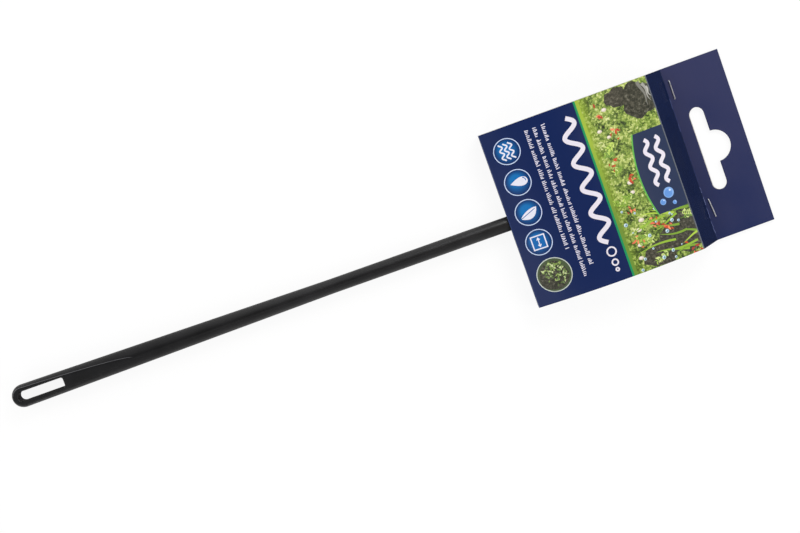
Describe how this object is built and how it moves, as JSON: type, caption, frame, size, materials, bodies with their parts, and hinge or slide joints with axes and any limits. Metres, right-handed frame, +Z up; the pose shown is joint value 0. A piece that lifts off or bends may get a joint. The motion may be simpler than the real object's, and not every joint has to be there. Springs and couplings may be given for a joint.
{
  "type": "aquarium fish net",
  "caption": "Aquarium fish net with a long tapered handle and hanging loop, its square net head held in a folded, stapled card with a hanging slot in the header.",
  "frame": {"origin": "middle of the whole object's footprint, on the surface that it lies on", "axes": "+X runs along the handle from its looped tip to the card's header, +Z is up out of the card's printed front, and +Y is to the left of the handle's direction"},
  "size_m": [0.3786, 0.0892, 0.0181],
  "materials": {
    "handle_plastic": "satin moulded polypropylene",
    "steel_wire": "drawn steel wire",
    "wire_coating": "dipped soft plastic",
    "hem_tape": "woven polyester tape",
    "sewing_thread": "twisted polyester thread",
    "netting": "knotless nylon netting",
    "printed_card": "varnished printed board",
    "staple_wire": "galvanised wire"
  },
  "bodies": {
    "net": {"handle": "handle_plastic", "hoop_wire": "steel_wire", "hoop_coating": "wire_coating", "hem_band": "hem_tape", "hem_stitching": "sewing_thread", "net_bag": "netting", "bag_seam_left": "sewing_thread", "bag_seam_right": "sewing_thread"},
    "card": {"card_back_panel": "printed_card", "card_spine": "printed_card", "card_header_back": "printed_card"},
    "flap": {"card_front_panel": "printed_card"},
    "header_flap": {"card_roof": "printed_card", "card_header_front": "printed_card", "staple_upper": "staple_wire", "staple_lower": "staple_wire"}
  },
  "joints": [
    {"name": "card_slide", "type": "slide", "parent": "net", "child": "card", "axis": [1, 0, 0], "range_m": [-0.004, 0.004]},
    {"name": "flap_open", "type": "hinge", "parent": "card", "child": "flap", "pos_m": [0.0647, -0.00057, 0.01], "axis": [0.0093, -1, 0], "range_deg": [0, 150], "deforming": ["staple_upper", "staple_lower"]},
    {"name": "header_lift", "type": "hinge", "parent": "flap", "child": "header_flap", "pos_m": [0.14889, 0.0002, 0.0136], "axis": [0.0093, -1, 0], "range_deg": [0, 35], "deforming": ["staple_upper", "staple_lower"]}
  ]
}
